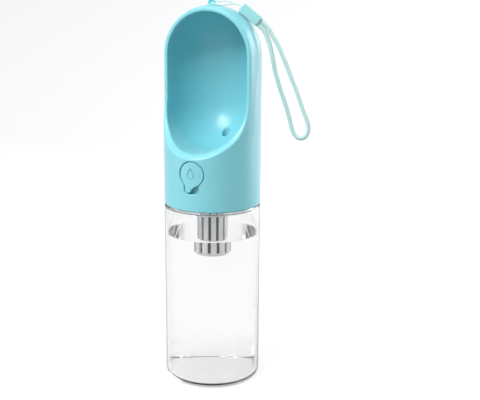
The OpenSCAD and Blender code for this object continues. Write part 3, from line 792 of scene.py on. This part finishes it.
def clampField(p):
    outline, deep = clampSides(p)
    return keptBoth(outline, deep, clampForm["round"])


def clampSize(p):
    return np.where(np.min(clampSides(p), axis=0) > -clampForm["edgeBand"], clampForm["fine"], far)


clampBody = newPiece("clampBody", roundedNode("strap_clamp", "clampBody", clampField, clampSize, clampForm),
                     clampMint, "head")
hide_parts("strap_clamp")
print("head, button, spring and clamp")


bottleForm = {
    "radius": bodyRadius, "shoulder": headZ - 0.0004, "edge": 0.0006, "corner": 0.0045,
    "wall": 0.0020, "floor": 0.0032, "roof": 0.0008, "innerCorner": 0.0018,
    "neckRadius": bodyRadius - 0.0060, "neckWall": 0.0022, "neckTop": 0.1310, "neckEdge": 0.0005,
    "neckFoot": 0.0003, "boreFoot": (0.0003, 0.0002),
    "hollowEdge": 0.0260, "hollow": 0.0014,      # the base is a shallow dome inside a ring
    "hollowLip": [(-0.0003, 0.0001), (0.0004, 0)],
}
# Its gap is a skin of air, which keeps the water apart from the plastic. The meniscus has points of distance from
# the wall and height above the level, in climbs
waterForm = {"level": 0.1038, "gap": 0.00006, "climb": 0.0006, "meniscus": [(4, 0), (2, 0.12), (1, 0.4), (0, 1)]}


def baseDome(s, steps=14):
    radius = (s["hollowEdge"] ** 2 + s["hollow"] ** 2) / (2 * s["hollow"])
    spread = math.degrees(math.asin(s["hollowEdge"] / radius))
    return arc((0, s["hollow"] - radius), radius, 90, 90 - spread, steps)


def bottleProfile(s):
    r, inner, neck = s["radius"], s["radius"] - s["wall"], s["neckRadius"]
    bore, corner = neck - s["neckWall"], s["innerCorner"]
    top, roof = s["shoulder"], s["shoulder"] - s["roof"]
    outside = [(0, s["hollow"])] + baseDome(s)[1:-1]
    outside += [(s["hollowEdge"] + out, up) for out, up in s["hollowLip"]]
    outside += arc((r - s["corner"], s["corner"]), s["corner"], -90, 0, steps=12)
    outside += arc((r - s["edge"], top - s["edge"]), s["edge"], 0, 90, steps=6)
    outside += [(neck + s["neckFoot"], top), (neck, top + s["neckFoot"])]
    outside += arc((neck - s["neckEdge"], s["neckTop"] - s["neckEdge"]), s["neckEdge"], 0, 90, steps=4)
    footOut, footUp = s["boreFoot"]
    inside = [(bore, s["neckTop"]), (bore, roof + footUp), (bore + footOut, roof)]
    inside += arc((inner - corner, roof - corner), corner, 90, 0, steps=8)
    inside += innerFloor(s, 0)
    return outside + inside


# The inside of the floor, or the underside of what stands on it with a gap
def innerFloor(s, gap):
    inner, low, corner = s["radius"] - s["wall"] - gap, s["floor"] + gap, s["innerCorner"]
    return arc((inner - corner, low + corner), corner, 0, -90, steps=8) + [(0, low)]


def waterProfile(s, t):
    inner = s["radius"] - s["wall"] - t["gap"]
    top = [(inner - away * t["climb"], t["level"] + up * t["climb"]) for away, up in t["meniscus"]]
    return ([(0, t["level"])] + top + innerFloor(s, t["gap"]))[::-1]


# Merges doubles and turns every face outwards
def outwards(mesh):
    bm = bmesh.new()
    bm.from_mesh(mesh)
    bmesh.ops.remove_doubles(bm, verts=bm.verts, dist=1e-7)
    bmesh.ops.recalc_face_normals(bm, faces=bm.faces)
    bm.to_mesh(mesh)
    bm.free()
    return mesh


bottleMesh = outwards(lathe("clearBody", bottleProfile(bottleForm)))
waterMesh = outwards(lathe("water", waterProfile(bottleForm, waterForm)))
clearBody = newPiece("clearBody", smoothed(bottleMesh, sharpAngle=50), clearBottle, "bottle")
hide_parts("bottle")
newPiece("water", smoothed(waterMesh, sharpAngle=50), waterClear, "bottle")
print("bottle and water")


# The world's strength as the camera sees it, through the bottle, and as it lights the object, low and high
sky = {"seen": 1.0, "through": 0.86, "horizon": 0.26, "zenith": 0.92}
lamps = {
    "key": {"at": (-0.21, -0.64, 0.944), "size": (0.50, 0.50), "power": 7.4},
    "front": {"at": (-0.08, -0.78, 0.76), "size": (0.14, 0.14), "power": 1.6},
    "left": {"at": (-0.76, -0.52, 0.26), "size": (0.50, 0.90), "power": 2.1},
    "back": {"at": (0.56, 0.80, 0.32), "size": (0.95, 0.80), "power": 12.5},
}
lampAim = (0, 0, 0.14)
# A sheet of paper that bends up behind: its colour and glow as seen, and through the bottle, and its measures
paper = {
    "tone": 0.35, "glow": 0.68, "throughTone": 0.27, "throughGlow": 0.59, "tint": (0.98, 0.985, 1, 1),
    "below": 0.00005, "halfWidth": 2.2, "front": -1.6, "bend": 1.1, "radius": 0.4, "bendStep": 6, "top": 1.4,
}


def addLamp(name, s, aim):
    data = bpy.data.lights.new(name, "AREA")
    data.shape = "RECTANGLE"
    data.size, data.size_y = s["size"]
    data.energy = s["power"]
    lamp = bpy.data.objects.new(name, data)
    lamp.location = s["at"]
    lamp.rotation_euler = (Vector(aim) - Vector(s["at"])).to_track_quat("-Z", "Y").to_euler()
    bpy.context.scene.collection.objects.link(lamp)


for lampName, lampSet in lamps.items():
    addLamp(lampName, lampSet, lampAim)


# One number for rays from the camera and off gloss, one for rays through clear plastic, one for the rest
def bySight(tree, direct, through, otherwise):
    path = addNode(tree, "ShaderNodeLightPath").outputs
    first = addNode(tree, "ShaderNodeMath", {0: path["Is Camera Ray"], 1: path["Is Glossy Ray"]},
                    operation="MAXIMUM").outputs[0]
    seen = addNode(tree, "ShaderNodeMix", {"Factor": first, "A": otherwise, "B": direct}).outputs[0]
    return addNode(tree, "ShaderNodeMix", {"Factor": path["Is Transmission Ray"], "A": seen,
                                           "B": through}).outputs[0]


def setWorld(s):
    world = bpy.data.worlds.new("studio")
    bpy.context.scene.world = world
    world.use_nodes = True
    tree = world.node_tree
    background = tree.nodes["Background"]
    background.inputs["Color"].default_value = (1, 1, 1, 1)
    way = addNode(tree, "ShaderNodeTexCoord").outputs["Generated"]
    height = addNode(tree, "ShaderNodeSeparateXYZ", {"Vector": way}).outputs["Z"]
    ambient = remap(tree, height, s["horizon"], s["zenith"], 0, 1)
    tree.links.new(bySight(tree, s["seen"], s["through"], ambient), background.inputs["Strength"])


def addFloor(s):
    floorZ, r = baseZ - s["below"], s["radius"]
    rows = [(s["front"], floorZ), (s["bend"] - r, floorZ)]
    rows += [(s["bend"] - r + r * math.sin(math.radians(a)), floorZ + r - r * math.cos(math.radians(a)))
             for a in range(s["bendStep"], 91, s["bendStep"])] + [(s["bend"], s["top"])]
    points = [(x, y, z) for y, z in rows for x in (-s["halfWidth"], s["halfWidth"])]
    faces = [(2 * i, 2 * i + 1, 2 * i + 3, 2 * i + 2) for i in range(len(rows) - 1)]
    mesh = meshFrom("floor", points, faces)
    mesh.polygons.foreach_set("use_smooth", [True] * len(mesh.polygons))
    floor = bpy.data.objects.new("floor", mesh)
    bpy.context.scene.collection.objects.link(floor)
    material, tree, shader, _ = newMaterial("paper", {
        "Roughness": 0.9, "Specular IOR Level": 0.0, "Emission Color": s["tint"]})
    tree.links.new(bySight(tree, s["tone"], s["throughTone"], s["tone"]), shader.inputs["Base Color"])
    tree.links.new(bySight(tree, s["glow"], s["throughGlow"], 0.0), shader.inputs["Emission Strength"])
    mesh.materials.append(material)


setWorld(sky)
addFloor(paper)
bpy.context.scene.view_settings.view_transform = "Standard"
print("stage lit")
